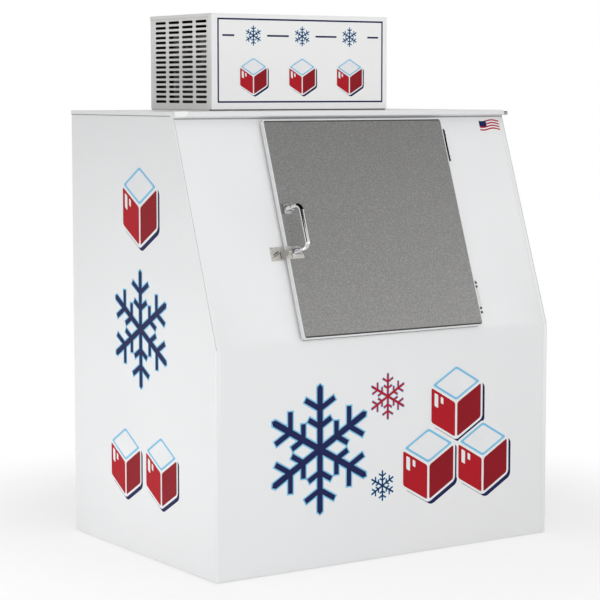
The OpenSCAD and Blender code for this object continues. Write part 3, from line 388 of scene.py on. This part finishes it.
def bead(name, body, low, high, place, line_material=dark_lines):
    size = min(Vector(high) - Vector(low))
    finished(rounded_block(low, high, size * 0.3, place), name, body, line_material)


def thickened(shape, depth):
    """A flat shape made that thick."""
    grown = bmesh.ops.extrude_face_region(shape, geom=shape.faces[:])["geom"]
    top = [part for part in grown if isinstance(part, bmesh.types.BMVert)]
    bmesh.ops.translate(shape, verts=top, vec=(0, 0, depth))
    bmesh.ops.recalc_face_normals(shape, faces=shape.faces)


# Painted shade: a thin grey strip along the slope under the gutter.
bead("gutter_shade_line", "cabinet", (-0.6440, 0.7314, SHEET_FACE), (0.6440, 0.7346, 0.0030), slope,
     grey_shade_lines)
moulding = Finish("white_plastic", Roughness=0.45)
moulding.look(Base_Color=moulding.between(moulding.noise(20, 3.0), grey(0.84), grey(0.88)))
CAP_FOOT, CAP_DEPTH, CAP_ROUNDING = 0.0014, 0.0186, 0.0022
end_cap = bmesh.new()
scoop = [(-0.6496, 0.7340), (-0.6180, 0.7340), (-0.6100, 0.7358), (-0.6045, 0.7400),
         (-0.6015, 0.7455), (-0.6005, 0.7512), (-0.6496, 0.7512)]
end_cap.faces.new([end_cap.verts.new((x, v, CAP_FOOT)) for x, v in scoop])
thickened(end_cap, CAP_DEPTH)
bmesh.ops.bevel(end_cap, geom=[e for e in end_cap.edges if e.calc_face_angle() > radians(50)],
                offset=CAP_ROUNDING, segments=3, profile=0.5, affect="EDGES", material=-1)
bmesh.ops.transform(end_cap, verts=end_cap.verts, matrix=slope)
finished(end_cap, "gutter_end_cap", "cabinet", moulding.material)

# Shade lines: thin rounded strips of painted shade, where the roof cap's rim meets both side
# panels, along the panels' front folds on the slope, and at the hood's foot on the roof.
upright = Matrix.Identity(4)
for side, edge, fold in (("left", -0.6480, -0.6436), ("right", 0.6480, 0.6436)):
    bead("cap_rim_shade_" + side, "cabinet", (edge - 0.0006, -0.1950, 1.4034),
         (edge + 0.0006, 0.4560, 1.4060), upright, grey_shade_lines)
    bead("fold_shade_" + side, "cabinet", (fold - 0.0009, 0.0040, -0.0004),
         (fold + 0.0009, 0.7300, 0.0003), slope, pale_shade_lines)
bead("hood_foot_shade", "cabinet", (-0.3465, 0.0530, 1.4180), (0.3465, 0.0580, 1.4220), upright)

# Base and deck: plain galvanised sheet with its crystals, cut and folded, left unpainted. The
# unit's brackets, fan ring and wire guards are finished alike.
zinc = Finish("galvanised", Metallic=0.85)
crystals = zinc.add("ShaderNodeTexVoronoi", {}, {"Vector": zinc.place, "Scale": 85}, "Color")
crystal = zinc.add("ShaderNodeSeparateColor", {}, {0: crystals}, 0)
zinc.look(Base_Color=zinc.between(crystal, grey(0.42, 0.01), grey(0.56, 0.015)),
          Roughness=0.34 + crystal * 0.16)
paint_nodes(zinc.material, "base_runners", "base_pan", "hood_base", "fan_shroud",
            "motor_bracket", "drier_clip", "evaporator_brackets", "fan_guards")

# Insulation: rigid foam blown between skins and liner, honey yellow, with fine open cells. It
# fills the walls and the door, and holds the sheets together.
foam = Finish("rigid_foam", Roughness=0.9)
cells = foam.add("ShaderNodeTexVoronoi", {}, {"Vector": foam.place, "Scale": 900}, "Distance")
foam.look(Base_Color=foam.between(foam.noise(14), (0.62, 0.48, 0.24, 1), (0.72, 0.58, 0.32, 1)))
foam.relief(cells, 0.0003, 0.6)
for part in frame["record"]["subparts"]:
    if part["material_slot"] == "foam":
        paint_nodes(foam.material, part["node"])

# Liner: light grey coated sheet inside the cabinet, on the door's inner face and round the
# evaporator, brushed faintly along its length by the rolls.
liner = Finish("liner_sheet", Metallic=0.1)
rolled = liner.noise(40, 3.0, 0.6, (0.05, 1, 1))
liner.look(Base_Color=liner.between(rolled, grey(0.66), grey(0.72)),
           Roughness=0.32 + rolled * 0.12)
liner.relief(rolled, 0.0001, 0.2)
paint_nodes(liner.material, "inner_liner", "evaporator_housing")
dress("door_liner", liner.material, 0.0004)

# Opening frame: dark grey extruded plastic that breaks the cold path round the door opening.
# It is mitred at the corners and clipped between the front sheet and the liner.
breaker = Finish("breaker_plastic", Roughness=0.5)
drawn = breaker.noise(160, 3.0, 0.6)
breaker.look(Base_Color=breaker.between(drawn, grey(0.15), grey(0.19)))
breaker.relief(drawn, 0.0001, 0.3)
dress("opening_frame", breaker.material, 0.0006)

# Door skin: galvanised sheet embossed with a fine stucco grain that hides dents. It sits in
# a white enamelled edge frame, folded all round.
stucco = Finish("stucco_sheet", Metallic=0.6)
worms = stucco.add("ShaderNodeTexVoronoi", {"feature": "SMOOTH_F1"}, {
    "Vector": stucco.place, "Scale": 210, "Smoothness": 0.35}, "Distance")
grain = stucco.noise(330, 3.0, 0.6)
drift = stucco.noise(3.0, 2.0)
relief_and_painted_light = worms * 0.75 + grain * 0.6
dull = stucco.between(drift, grey(0.222, -0.006), grey(0.246, -0.006))
# Colour lighter on the raised grain and darker in its hollows: painted highlight and shade.
stucco.look(Base_Color=stucco.between(stucco.step(relief_and_painted_light, 0.35, 0.95), dull, grey(0.335, -0.008)),
            Roughness=0.42 + grain * 0.12)
stucco.relief(relief_and_painted_light, 0.0006, 0.8)
dress("door_skin", stucco.material, 0.0004)
dress("door_frame", enamel("door_enamel", 0.78, 0.32), 0.0009, 3)
# Dark strips along the skin's lower and upper edges, and under the door's lower edge.
for end, low in (("lower", 0.0162), ("upper", 0.7121)):
    bead("door_dark_strip_" + end, "door", (-0.336, low, 0.0215), (0.354, low + 0.0046, 0.0226), slope)
bead("door_lip_dark_strip", "door", (-0.333, 0.0128, 0.0016), (0.351, 0.0180, 0.0079), slope)
paint_nodes(foam.material, "door_insulation")

# Gasket: grey vinyl profile with a magnet in its pocket. Its barbed foot is pushed into a
# groove round the door's back.
vinyl = Finish("gasket_vinyl", Roughness=0.62)
vinyl.look(Base_Color=vinyl.between(vinyl.noise(60, 3.0), grey(0.16), grey(0.21)))
vinyl.relief(vinyl.noise(700), 0.0001, 0.4)
dress("door_gasket", vinyl.material, 0.0008)

# Hinges: plated steel, bright on the barrels and faintly brushed on the flats. The bases are
# screwed to the slope, and the straps to the door. Two black collars close each end knuckle,
# and the pins' heads are domed.
plated = Finish("plated_steel", Metallic=1.0)
brushed = plated.noise(120, 4.0, 0.7, (1, 0.04, 0.04))
plated.look(Base_Color=plated.between(brushed, grey(0.55), grey(0.68)),
            Roughness=0.03 + brushed * 0.06)
plated.relief(brushed, 0.00005, 0.3)
for node in ("hinge_base_upper", "hinge_base_lower", "hinge_strap_upper", "hinge_strap_lower"):
    dress(node, plated.material, 0.0006, 2)
dress("frame_screws", plated.material, 0.0004, 2)
dress("hinge_pins", plated.material, 0.0014, 4)
black_rings = Finish("black_collar_finish", Roughness=0.5)
black_rings.look(Base_Color=black_rings.between(black_rings.noise(60, 3.0), grey(0.018), grey(0.030)))
LOWER, UPPER = 0.1060, 0.6270
PIN_ACROSS, PIN_OFF = 0.3675, 0.0130
INNER, OUTER = 0.0071, 0.0077
SPANS = ((0.0332, 0.0396), (0.0465, 0.0535), (-0.0396, -0.0332), (-0.0535, -0.0465))
collars = bmesh.new()
for middle in (LOWER, UPPER):
    for near, far in SPANS:
        strip = [collars.verts.new((radius, middle + along, 0)) for radius, along in
                 ((INNER, near), (OUTER, near), (OUTER, far), (INNER, far))]
        band = [collars.edges.new((strip[i], strip[(i + 1) % 4])) for i in range(4)]
        bmesh.ops.spin(collars, geom=strip + band, cent=(0, 0, 0), axis=(0, 1, 0),
                       dvec=(0, 0, 0), angle=2 * pi, steps=40, use_merge=True)
bmesh.ops.remove_doubles(collars, verts=collars.verts, dist=1e-6)
bmesh.ops.recalc_face_normals(collars, faces=collars.faces)
bmesh.ops.transform(collars, verts=collars.verts,
                    matrix=slope @ Matrix.Translation((PIN_ACROSS, 0, PIN_OFF)))
finished(collars, "hinge_collars", "cabinet", black_rings.material)

# Keeper and strap: stamped plates in warm dull zinc, screwed to the slope beside the door and
# to the door under its handle. The keeper's loop is raised out of its plate; a dark patch under
# it is painted shadow, and a dark strip in its notch is painted shade. A padlock goes through
# the two ears.
stamped = Finish("keeper_zinc", Metallic=0.55)
wear = stamped.noise(90, 4.0, 0.7)
stamped.look(Base_Color=stamped.between(wear, (0.56, 0.54, 0.50, 1), (0.68, 0.66, 0.62, 1)),
             Roughness=0.30 + wear * 0.15)
stamped.relief(wear, 0.00008, 0.3)
EAR_FROM, PLATE_FACE = -0.353, 0.0016
keeper = eased("lock_keeper", 0.0006)
for face in keeper.faces:
    spot = slope.inverted() @ face.calc_center_median()
    face.material_index = int(spot.x < EAR_FROM and spot.z > PLATE_FACE)
finished(keeper, "lock_keeper_part", "cabinet", [stamped.material, plated.material],
         "lock_keeper")
loop = slope @ Matrix.Translation((-0.3691, 0.2920, 0)) @ Matrix.Rotation(radians(30), 4, "Z")
# Painted shadow under the loop, and painted shade in the notch.
bead("keeper_loop_shadow", "cabinet", (-0.0105, -0.0050, 0.0008), (0.0105, 0.0042, 0.0016), loop)
bead("keeper_notch_shade", "cabinet", (-0.3550, 0.2756, SHEET_FACE), (-0.3510, 0.2988, 0.0006), slope)
dress("lock_strap", stamped.material, 0.0006)
dress("handle_screws", stamped.material, 0.0004)

# Pull handle: a round bar bent to a D and chromed, with a collar round the root of each leg.
# Its flat feet, with a screw near each outer end, are ground to satin.
chrome = Finish("chrome", Metallic=1.0)
mist = chrome.noise(35, 3.0)
chrome.look(Base_Color=chrome.between(mist, grey(0.70), grey(0.78)), Roughness=0.04 + mist * 0.06)
satin = Finish("satin_steel", Metallic=1.0)
ground = satin.noise(180, 4.0, 0.7, (1, 0.05, 0.05))
satin.look(Base_Color=satin.between(ground, grey(0.50), grey(0.62)),
           Roughness=0.26 + ground * 0.12)
satin.relief(ground, 0.00005, 0.3)
LEVEL, FOOT_AREA = 0.995, 0.00004
outwards = slope.to_3x3().col[2]
pull = eased("pull_handle", 0.0008)
for face in pull.faces:
    face.material_index = int(face.normal.dot(outwards) > LEVEL
                              and face.calc_area() > FOOT_AREA)
finished(pull, "pull_handle_part", "door", [chrome.material, satin.material],
         "pull_handle")

# Hood: white enamelled sheet with punched slots, a lid that laps over the sides, and a
# shallow sign tray in front. Its inward faces are near black as painted shade, and a black foam
# dust filter stands behind the back's slots, its darkness partly painted shade.
hood_white = enamel("hood_enamel", 0.79, 0.42, -0.022)
# Painted shade: near black for the hood's inward faces.
inside_shade = Finish("dark_inside_shade", Roughness=0.8)
inside_shade.look(Base_Color=inside_shade.between(inside_shade.noise(20, 4.0), grey(0.020), grey(0.045)))


def lined(node, paint, inwards, radius, segments=2):
    """Hood sheet in enamel, with near-black painted shade on the faces that look inwards."""
    sheet = eased(node, radius, segments)
    for face in sheet.faces:
        face.material_index = int(face.normal.dot(Vector(inwards)) > 0.7)
    finished(sheet, node + "_part", "cabinet", [paint, inside_shade.material], node)


lined("hood_side_left", hood_white, (1, 0, 0), 0.0004)
lined("hood_side_right", hood_white, (-1, 0, 0), 0.0004)
lined("hood_back", hood_white, (0, -1, 0), 0.0004)
lined("hood_top", hood_white, (0, 0, -1), 0.0004)
# Dust filter: black foam, whose darkness also stands in as painted shade inside the hood.
shade_filter_foam = Finish("shade_filter_foam", Roughness=0.95)
pores = shade_filter_foam.add("ShaderNodeTexVoronoi", {}, {"Vector": shade_filter_foam.place, "Scale": 420},
                        "Distance")
shade_filter_foam.look(Base_Color=shade_filter_foam.between(pores, grey(0.012), grey(0.035)))
shade_filter_foam.relief(pores, 0.0008, 0.8)
finished(rounded_block((-0.335, 0.4415, 1.4450), (0.335, 0.4472, 1.7190), 0.0015, upright),
         "shading_dust_filter", "cabinet", shade_filter_foam.material)
lined("sign_tray", enamel("sign_enamel", 0.81, 0.30, -0.004), (0, 1, 0), 0.0012, 3)

# Artwork: cut vinyl film on the lower front, both sides and the sign, in layers a tenth of a
# millimetre thick: a navy shadow, a white edge, then red, pale blue and white shapes.
FILM = 0.0001
RED, DEEP, NAVY, WHITE, PALE = range(5)


def film(name, colour):
    vinyl_film = Finish(name, Specular_IOR_Level=0.15)
    mottle = vinyl_film.noise(9, 3.0)
    faded = tuple(part * 0.88 for part in colour)
    vinyl_film.look(Base_Color=vinyl_film.between(mottle, faded + (1,), colour + (1,)),
                    Roughness=0.42 + mottle * 0.10)
    vinyl_film.relief(vinyl_film.noise(300), 0.00005, 0.3)
    return vinyl_film.material


films = [film("red_film", (0.44, 0.006, 0.015)), film("deep_red_film", (0.27, 0.004, 0.012)),
         film("navy_film", (0.010, 0.014, 0.080)), film("white_film", (0.84, 0.85, 0.86)),
         film("pale_blue_film", (0.22, 0.55, 0.80))]
scrap = bpy.data.meshes.new("scrap")


def add_layer(picture, shape, layer, tone=None):
    """Flat shape as a film in one layer of a picture."""
    bmesh.ops.translate(shape, verts=shape.verts, vec=(0, 0, layer * FILM))
    thickened(shape, FILM)
    if tone is not None:
        for face in shape.faces:
            face.material_index = tone
    shape.to_mesh(scrap)
    shape.free()
    picture.from_mesh(scrap)


def ice_block(picture, middle, edge):
    """Block of ice seen on its corner: white on top, red walls, a navy shadow behind. Its flat
    shapes are drawn on an edge of 1, each shrunk to a share, shifted and rounded at its
    corners."""
    whole = [(0, 1), (-1, 0.5), (-1, -0.5), (0, -1), (1, -0.5), (1, 0.5)]
    top = [(0, 0), (1, 0.5), (0, 1), (-1, 0.5)]
    left = [(0, 0), (-1, 0.5), (-1, -0.5), (0, -1)]
    right = [(0, 0), (0, -1), (1, -0.5), (1, 0.5)]
    gleam = [(-0.84, 0.30), (-0.70, 0.23), (-0.70, -0.12), (-0.84, -0.05)]
    spark = [(-0.60, 0.18), (-0.50, 0.13), (-0.50, -0.04), (-0.60, 0.01)]
    for spots, share, shift, layer, tone, rounding in (
            (whole, 1.00, 0.10, 0, NAVY, 0.10), (whole, 1.03, 0, 1, WHITE, 0.10),
            (left, 0.92, 0, 2, RED, 0.06), (right, 0.92, 0, 2, DEEP, 0.06),
            (top, 0.92, 0, 2, PALE, 0.06), (top, 0.78, 0, 3, WHITE, 0.06),
            (gleam, 1.0, 0, 3, WHITE, 0.03), (spark, 1.0, 0, 3, WHITE, 0.02)):
        centre = [sum(spot[axis] for spot in spots) / len(spots) for axis in (0, 1)]
        shape = bmesh.new()
        shape.faces.new([shape.verts.new((
            middle[0] + edge * (cos(pi / 6) * (centre[0] + (u - centre[0]) * share) + shift),
            middle[1] + edge * (centre[1] + (v - centre[1]) * share - shift), 0))
            for u, v in spots])
        bmesh.ops.bevel(shape, geom=shape.verts[:], offset=edge * rounding, segments=4,
                        profile=0.5, affect="VERTICES", clamp_overlap=True, material=-1)
        add_layer(picture, shape, layer, tone)


def snow_crystal(picture, middle, reach, colours=(PALE, NAVY)):
    """Six-armed crystal: half an arm is drawn, mirrored, and turned round its middle."""
    for layer, tone in enumerate(colours):
        rim = 0 if layer else reach * 0.022
        width = reach * 0.050 + rim
        branch = Vector((sin(pi / 3), cos(pi / 3)))
        side = Vector((branch.y, -branch.x)) * (reach * 0.042 + rim)
        corners = [Vector((0, 0)), Vector((width, width / tan(pi / 6)))]
        for root, length in ((0.35, 0.24), (0.62, 0.31)):
            stem = Vector((0, root * reach))
            tip = branch * (length * reach + rim)
            corners += [stem + side + branch * ((width - side.x) / branch.x), stem + side + tip,
                        stem + tip - side, stem - side + branch * ((width + side.x) / branch.x)]
        corners += [Vector((width, reach * 0.95 + rim)), Vector((0, reach + rim))]
        shape = bmesh.new()
        shape.faces.new([shape.verts.new((corner.x, corner.y, 0)) for corner in corners])
        bmesh.ops.mirror(shape, geom=shape.verts[:] + shape.edges[:] + shape.faces[:],
                         axis="X", merge_dist=1e-6)
        bmesh.ops.spin(shape, geom=shape.verts[:] + shape.edges[:] + shape.faces[:],
                       cent=(0, 0, 0), axis=(0, 0, 1), angle=pi * 5 / 3, steps=5,
                       use_duplicate=True)
        bmesh.ops.remove_doubles(shape, verts=shape.verts, dist=1e-5)
        bmesh.ops.recalc_face_normals(shape, faces=shape.faces)
        bmesh.ops.translate(shape, verts=shape.verts, vec=(*middle, 0))
        add_layer(picture, shape, layer, tone)


def stick(picture, name, place):
    bmesh.ops.transform(picture, verts=picture.verts, matrix=place)
    finished(picture, name, "cabinet", films)


front_sheet = laid((1, 0, 0), (0, 0, 1), (0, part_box("front_panel")[0].y, 0))
left_sheet = laid((0, -1, 0), (0, 0, 1), (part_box("side_panel_left")[0].x, 0, 0))
right_sheet = laid((0, 1, 0), (0, 0, 1), (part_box("side_panel_right")[1].x, 0, 0))

crystals_front = bmesh.new()
snow_crystal(crystals_front, (-0.270, 0.375), 0.205)
snow_crystal(crystals_front, (-0.010, 0.520), 0.075, (PALE, RED))
snow_crystal(crystals_front, (-0.030, 0.235), 0.050)
stick(crystals_front, "front_crystals", front_sheet)
blocks_front = bmesh.new()
for middle in ((0.153, 0.285), (0.377, 0.285), (0.265, 0.479)):
    ice_block(blocks_front, middle, 0.122)
stick(blocks_front, "front_ice_blocks", front_sheet)
for side, sheet in (("left", left_sheet), ("right", right_sheet)):
    blocks_side = bmesh.new()
    ice_block(blocks_side, (0.0, 1.120), 0.130)
    ice_block(blocks_side, (-0.105, 0.290), 0.115)
    ice_block(blocks_side, (0.125, 0.290), 0.115)
    stick(blocks_side, side + "_ice_blocks", sheet)
    crystals_side = bmesh.new()
    snow_crystal(crystals_side, (0.0, 0.730), 0.190)
    stick(crystals_side, side + "_crystals", sheet)

# Sign: its white face carries a thin navy line round the edge, a row of red blocks of ice, and
# snow crystals between short bars above them.
LINE = 0.0056
BLOCK_ROW, CRYSTAL_ROW = 1.530, 1.662
COLUMNS = (-0.190, 0.002, 0.194)


def panel(middle, width, height):
    """Flat rectangle."""
    cut = bmesh.new()
    bmesh.ops.create_grid(cut, x_segments=1, y_segments=1, size=0.5)
    bmesh.ops.scale(cut, verts=cut.verts, vec=(width, height, 1))
    bmesh.ops.translate(cut, verts=cut.verts, vec=(*middle, 0))
    return cut


sign_sheet = laid((1, 0, 0), (0, 0, 1), (0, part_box("sign_tray")[0].y, 0))
sign_art = bmesh.new()
line = panel((0.002, 1.5805), 0.660, 0.274)
ring = bmesh.ops.inset_region(line, faces=line.faces[:], thickness=LINE, use_boundary=True,
                              use_even_offset=True)["faces"]
bmesh.ops.delete(line, geom=[face for face in line.faces if face not in ring], context="FACES")
add_layer(sign_art, line, 0, NAVY)
for x in COLUMNS:
    ice_block(sign_art, (x, BLOCK_ROW), 0.062)
for x in COLUMNS:
    snow_crystal(sign_art, (x, CRYSTAL_ROW), 0.033)
for x, length in ((-0.286, 0.045), (-0.094, 0.085), (0.098, 0.085), (0.290, 0.045)):
    add_layer(sign_art, panel((x, CRYSTAL_ROW), length, 0.006), 0, NAVY)
stick(sign_art, "sign_artwork", sign_sheet)

# Sticker: a small striped pennant of film near the top right corner of the slope, cut to a
# waving outline.
STRIPES = 7
WAVE, WAVE_START = 0.10, 0.6
pennant = bmesh.new()
bmesh.ops.create_grid(pennant, x_segments=2 * STRIPES, y_segments=STRIPES, size=0.5)
for face in pennant.faces:
    u, v, _ = face.calc_center_median()
    stripe = int((v + 0.5) * STRIPES)
    face.material_index = NAVY if u < -0.12 and stripe > 2 else (WHITE if stripe % 2 else RED)
for corner in pennant.verts:
    corner.co.y += WAVE * sin(corner.co.x * 2 * pi + WAVE_START)
bmesh.ops.transform(pennant, verts=pennant.verts, matrix=Matrix.Translation(
    (0.583, 0.703, SHEET_FACE)) @ Matrix.Diagonal((0.086, 0.034, 1, 1)))
small_sign = bmesh.new()
add_layer(small_sign, pennant, 0)
stick(small_sign, "striped_sticker", slope)
bpy.data.meshes.remove(scrap)

# Coils: thin aluminium fins pressed on copper pipes, grey with darker patches at random.
fins = Finish("coil_fins", Metallic=0.5)
dark_patches = fins.step(fins.noise(11, 4.0, 0.6), 0.46, 0.62)
fins.look(Base_Color=fins.between(dark_patches, grey(0.12), grey(0.52)), Roughness=0.55 + dark_patches * 0.2)
paint_nodes(fins.material, "condenser_coil", "evaporator_coil")

# Copper: the drawn pipes, bent by hand and brazed, and the spun filter drier, all tarnished in
# patches.
copper = Finish("copper", Metallic=0.95)
tarnish = copper.step(copper.noise(24, 4.0, 0.6), 0.42, 0.68)
copper.look(Base_Color=copper.between(tarnish, (0.72, 0.36, 0.22, 1), (0.36, 0.17, 0.10, 1)),
            Roughness=0.25 + tarnish * 0.25)
paint_nodes(copper.material, "refrigerant_pipes", "filter_drier")

# Motors and compressor: black enamel over pressed shells and castings, a little lumpy, as
# dipped paint is.
black = Finish("black_enamel", Coat_Weight=0.2)
lumps = black.noise(160, 3.0)
black.look(Base_Color=black.between(black.noise(9, 4.0), grey(0.020), grey(0.045)),
           Roughness=0.36 + lumps * 0.15)
black.relief(lumps, 0.0003, 0.4)
paint_nodes(black.material, "condenser_motor", "compressor", "evaporator_motors")

# Fans: black moulded plastic with a slight sheen, pushed on the motors' shafts. Flow lines
# from the mould cloud the blades.
moulded = Finish("fan_plastic")
flow = moulded.noise(45, 3.0)
moulded.look(Base_Color=moulded.between(flow, grey(0.035), grey(0.055)),
             Roughness=0.4 + flow * 0.12)
paint_nodes(moulded.material, "condenser_fan", "evaporator_fan_left", "evaporator_fan_right")

# Control box: grey crackle paint on folded steel, screwed to the deck beside the
# compressor.
crackle = Finish("grey_paint", Roughness=0.55)
wrinkle = crackle.noise(260, 4.0, 0.7)
crackle.look(Base_Color=crackle.between(wrinkle, grey(0.15), grey(0.20)))
crackle.relief(wrinkle, 0.0003, 0.5)
dress("control_box", crackle.material, 0.0012)

# Rubber: the soft feet under the compressor and the moulded bushing in the hood's back where
# the supply enters.
rubber = Finish("rubber", Roughness=0.75)
rubber.look(Base_Color=rubber.between(rubber.noise(70, 3.0), grey(0.018), grey(0.032)))
rubber.relief(rubber.noise(500), 0.0001, 0.4)
paint_nodes(rubber.material, "compressor_grommets", "cord_bushing")

# Drain: white moulded tray under the evaporator and its tube for the melt water, out through
# the back.
paint_nodes(moulding.material, "drain_pan", "drain_tube")
